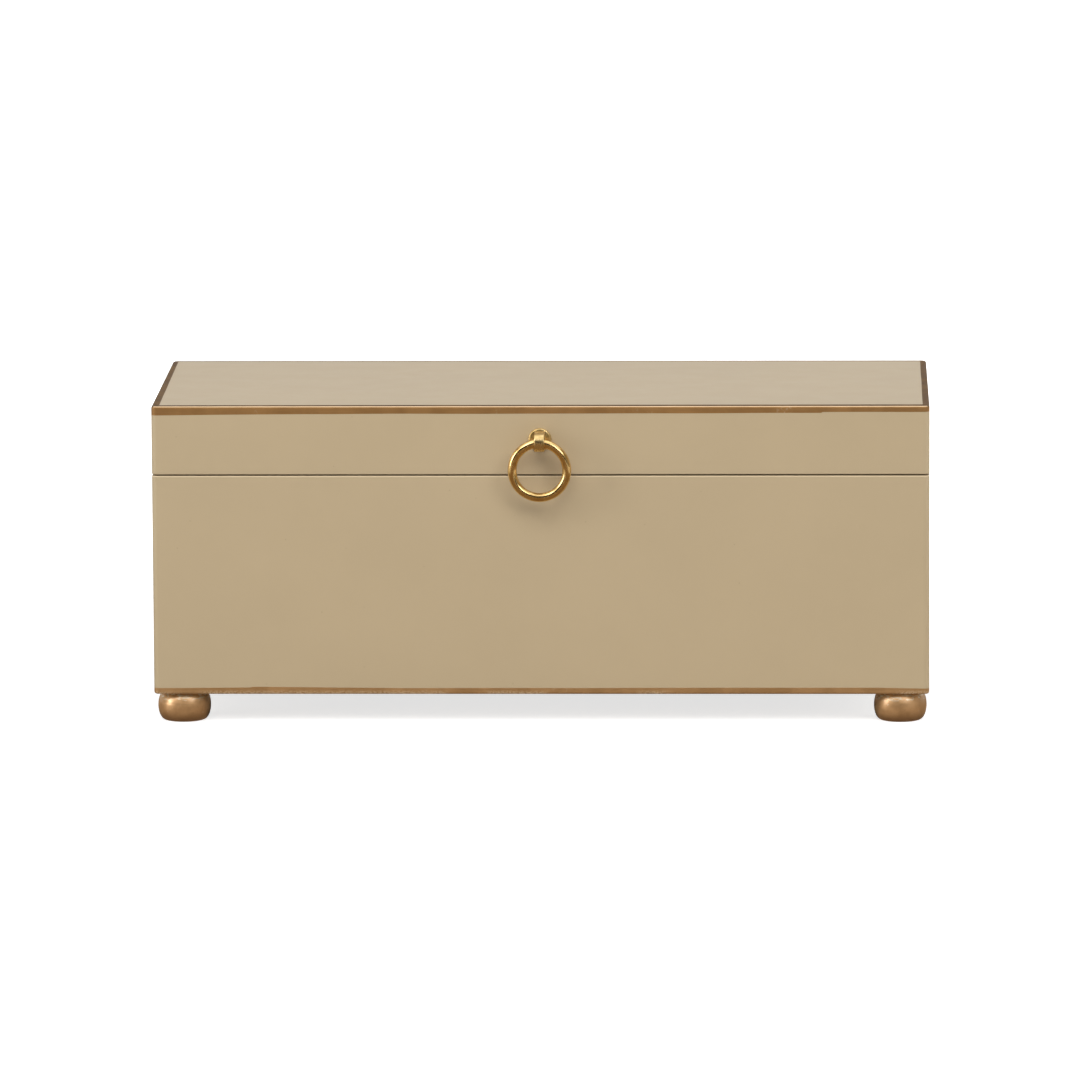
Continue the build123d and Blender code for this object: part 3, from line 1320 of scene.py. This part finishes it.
@dataclass(frozen=True)
class Card:
    """A glowing card that only reflections show: a painted reflection of a dark, grey or pale part
    of a studio.

    Attributes:
        name: The card's name.
        place: The middle of the card.
        facing: The direction that it faces.
        width: Its width.
        height: Its height.
        colour: The colour that it shows.
    """

    name: str
    place: Triple
    facing: Triple
    width: float
    height: float
    colour: Colour

    def stand(self) -> None:
        """Stand the card up."""
        mesh = bmesh.new()
        bmesh.ops.create_grid(mesh, x_segments=1, y_segments=1, size=0.5)
        bmesh.ops.scale(mesh, vec=(self.width, self.height, 1), verts=mesh.verts)
        turn = Vector(self.facing).to_track_quat("Z", "Y").to_matrix().to_4x4()
        bmesh.ops.transform(mesh, matrix=Matrix.Translation(self.place) @ turn, verts=mesh.verts)
        card = plain_object(self.name, mesh)
        for ray in ("camera", "diffuse", "transmission", "volume_scatter", "shadow"):
            setattr(card, f"visible_{ray}", False)
        shader = Shader(self.name)
        shader.set(
            base_color=(0.0, 0.0, 0.0),
            specular_ior_level=0.0,
            emission_color=self.colour,
            emission_strength=1.0,
        )
        card.data.materials.append(shader.material)


@dataclass
class Studio:
    """The camera, the lamps, the pale floor and the white surroundings.

    Attributes:
        camera_place: Where the camera stands.
        camera_turn: The camera's turn about X, Y and Z, in degrees.
        lens: Its focal length in millimetres.
        sensor: The width of its sensor in millimetres.
        lamp_target: Where the lamps point.
        floor_size: The length of the floor's sides.
        lamps: The soft boxes.
        cards: Glowing cards that only reflections show: painted reflections of the dark, grey and
            pale parts of the studio.
        ambient: The strength of the white light from all round.
        floor_glow: What the floor is lifted by near the box, to the eye, so that it is white
            away from shadows.
        shadow_reach: How far from the box the floor still shows a shadow.
    """

    camera_place: Triple = (0.1291, -4.34913, 0.7627)
    camera_turn: Triple = (81.01, 0.286, 1.685)
    lens: float = 315.97
    sensor: float = 36.0
    lamp_target: Triple = (0.0, 0.0, 0.08)
    floor_size: float = 12.0
    lamps: tuple[SoftBox, ...] = (
        SoftBox("above_front", (0.0, -2.8, 2.8), 2.3, 2.3, 64.0, mirrored=False),
        SoftBox("above_left", (-1.4, -1.8, 2.3), 1.3, 1.3, 16.0),
        SoftBox("front_right", (1.6, -2.3, 1.7), 1.1, 1.4, 21.0),
        SoftBox("strip_left", (-2.8, -1.3, 1.0), 0.8, 1.8, 28.5),
        SoftBox("overhead", (0.0, -0.2, 2.4), 2.2, 2.2, 9.0),
        SoftBox("behind", (0.0, 2.9, 1.1), 2.0, 1.2, 56.0, mirrored=False),
        SoftBox("beside_right", (3.0, 0.3, 1.2), 1.2, 1.2, 34.0, mirrored=False),
    )
    cards: tuple[Card, ...] = (
        Card("card_behind", (0.0, 3.2, 1.2), (0, -1, 0), 9.0, 2.4, (0.49, 0.46, 0.42)),
        Card("room_in_front", (0.0, -6.0, 2.0), (0, 1, 0), 14.0, 6.0, (0.06, 0.05, 0.037)),
        Card("pale_left", (-3.3, -1.7, 1.8), (0.8, 0.4, -0.4), 2.0, 2.6, (1.3, 1.25, 1.15)),
        Card(
            "pale_right", (1.86, -1.46, 1.85), (-0.62, 0.485, -0.616), 1.2, 1.0, (1.0, 0.95, 0.88)
        ),
        Card("room_left", (-5.5, -1.5, 2.0), (1, 0, 0), 9.0, 6.0, (0.27, 0.235, 0.18)),
        Card("room_right", (5.5, -1.5, 2.0), (-1, 0, 0), 9.0, 6.0, (0.27, 0.235, 0.18)),
        # A warm dark card on the floor that reflections show as a table: a painted reflection
        Card("table_before", (0.0, 0.0, 0.0003), (0, 0, 1), 6.0, 6.0, (0.25, 0.165, 0.09)),
        Card("floor_left", (-1.75, 0.0, 0.0005), (0, 0, 1), 2.4, 6.0, (0.70, 0.64, 0.55)),
        Card("floor_right", (1.75, 0.0, 0.0005), (0, 0, 1), 2.4, 6.0, (0.70, 0.64, 0.55)),
        # A near black card under the box: painted shade, seen in reflections
        Card("under_the_box", (0.0, 0.0067, 0.0006), (0, 0, 1), 0.35, 0.13, (0.03, 0.022, 0.015)),
    )
    ambient: float = 0.12
    floor_glow: float = 0.73
    shadow_reach: float = 0.28

    def set_camera(self) -> None:
        """Set the camera up at the photograph's angle."""
        lens = bpy.data.cameras.new("camera")
        lens.lens = self.lens
        lens.sensor_width = self.sensor
        camera = in_scene("camera", lens)
        camera.location = self.camera_place
        camera.rotation_euler = Euler([radians(turn) for turn in self.camera_turn])
        bpy.context.scene.camera = camera

    def lay_floor(self) -> None:
        """Lay a white floor that keeps the shadow of the box."""
        mesh = bmesh.new()
        bmesh.ops.create_grid(mesh, x_segments=1, y_segments=1, size=self.floor_size / 2)
        floor = plain_object("floor", mesh)
        shader = Shader("white_floor")
        away = shader.node("ShaderNodeVectorMath", {0: shader.place}, operation="LENGTH")
        fade = (self.shadow_reach, 2 * self.shadow_reach)
        glow = shader.spread(away["Value"], fade, (self.floor_glow, 1.0))
        shader.set(
            base_color=(0.6, 0.6, 0.6),
            roughness=0.9,
            specular_ior_level=0.0,
            emission_color=(1.0, 1.0, 1.0),
            emission_strength=shader.times(shader.seen_directly(), glow),
        )
        floor.data.materials.append(shader.material)

    def surround(self) -> None:
        """Make the world white to the eye and in reflections, and a plain soft light elsewhere."""
        world = bpy.data.worlds.new("white_surroundings")
        bpy.context.scene.world = world
        world.use_nodes = True
        nodes = Nodes(world.node_tree)
        strength = nodes.spread(nodes.seen_directly(), (0.0, 1.0), (self.ambient, 1.0))
        glow = nodes.tree.nodes["Background"].inputs
        nodes.fill(glow["Color"], (1.0, 1.0, 1.0))
        nodes.fill(glow["Strength"], strength)

    def build(self) -> None:
        """Set up everything round the box."""
        bpy.context.scene.view_settings.view_transform = "Standard"
        self.set_camera()
        self.lay_floor()
        self.surround()
        for lamp in self.lamps:
            lamp.light(Vector(self.lamp_target))
        for card in self.cards:
            card.stand()


# The lid's top board, with bands along the edges of its top and round its sides
LID_BOARD = BandedBoard(
    node="lid_top",
    faces_up=True,
    wall_bands={
        Side.FRONT: stroked_edge(
            1.0,
            (0.0, 0.19, 0.0041, 0.0035),
            (0.19, 0.862, 0.0035, 0.0031),
            (0.862, 1.0, 0.0027, 0.0027),
        ),
        Side.RIGHT: even_edge(2.0, 0.0027, 0.0032),
        Side.BACK: even_edge(3.0, 0.0035, 0.0032),
        Side.LEFT: even_edge(4.0, 0.0041, 0.0035),
    },
    face_bands={
        Side.FRONT: even_edge(5.0, 0.0045, 0.0056),
        Side.RIGHT: even_edge(6.0, 0.0031, 0.0029),
        Side.BACK: even_edge(7.0, 0.0030, 0.0032),
        Side.LEFT: even_edge(8.0, 0.0036, 0.0026),
    },
)

# The base's bottom board, with a band round its sides
BASE_BOARD = BandedBoard(
    node="base_bottom",
    faces_up=False,
    wall_bands={
        Side.FRONT: stroked_edge(
            9.0,
            (0.0, 0.126, 0.0028, 0.0031),
            (0.126, 0.32, 0.0034, 0.0029),
            (0.32, 0.936, 0.0029, 0.0031),
            (0.936, 1.0, 0.0031, 0.0026),
        ),
        Side.RIGHT: even_edge(10.0, 0.0026, 0.0031),
        Side.BACK: even_edge(11.0, 0.0030, 0.0032),
        Side.LEFT: even_edge(12.0, 0.0028, 0.0032),
    },
)


def main() -> None:
    """Build every piece, dress every CAD node that stays, and set up the studio."""
    logging.basicConfig(level=logging.INFO, format="%(name)s: %(message)s")
    lacquer = Lacquer(rim=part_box("base_front")[1].z).make()
    gilt = GiltWood(top=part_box("base_bottom")[0].z).make()
    leaf_brass, screw_brass = ROLLED_BRASS.make(), SCREW_BRASS.make()
    steel = CLOUDY_ZINC.make()

    # The lid's band paint, its painted shade and its painted highlight
    lid_paints = (GoldPaint(), ShadedBandPaint(), HIGHLIGHT_PAINT)
    LID_BOARD.build(Body.LID, lacquer, *[paint.make() for paint in lid_paints])
    BASE_BOARD.build(Body.BASE, lacquer, PALE_PAINT.make())
    for case in ("base", "lid"):
        dress_nodes(lacquer, *[f"{case}_{side.name.lower()}" for side in Side])
        dress_nodes(leaf_brass, f"left_hinge_{case}_leaf", f"right_hinge_{case}_leaf")
        dress_nodes(screw_brass, f"{case}_hinge_screws")
    dress_nodes(steel, "left_hinge_pin", "right_hinge_pin", "foot_screws")
    for depth in ("front", "back"):
        for width in ("left", "right"):
            BunFoot(f"foot_{depth}_{width}").build(gilt)
    RingPull().build(BRIGHT_BRASS.make(), CAST_BRASS.make(), steel)
    FeltWork().build(Felt().make())
    Studio().build()


if __name__ == "__main__":
    main()
